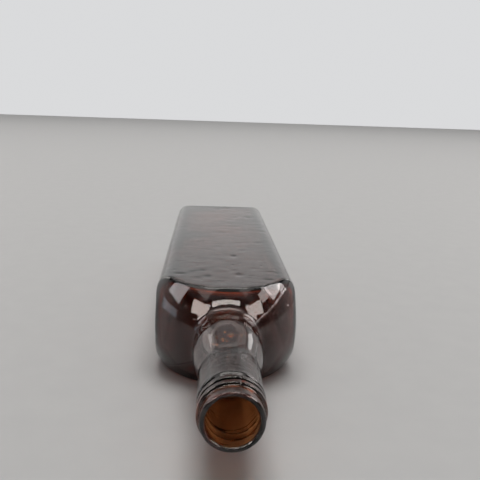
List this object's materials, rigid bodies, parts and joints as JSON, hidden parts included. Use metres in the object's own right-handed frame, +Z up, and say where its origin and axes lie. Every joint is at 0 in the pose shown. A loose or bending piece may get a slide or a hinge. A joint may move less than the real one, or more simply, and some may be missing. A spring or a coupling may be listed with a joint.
{
  "type": "glass soda bottle",
  "caption": "Flat rectangular screw-neck bottle in dark amber glass, with a domed shoulder and a barrel-shaped neck, lying on its wide side with the mouth open.",
  "frame": {"origin": "middle of the footprint, on the resting plane: the bottle lies on one wide side panel", "axes": "+Y along the bottle's axis from the mouth to the base, +X across the wide panels, +Z up, across the thickness"},
  "size_m": [0.075, 0.335, 0.052],
  "materials": {
    "amber_glass": "dark smoky amber, glossy, slightly wavy moulded surface with seeds"
  },
  "bodies": {
    "root": {"bottle": "amber_glass"}
  },
  "joints": []
}
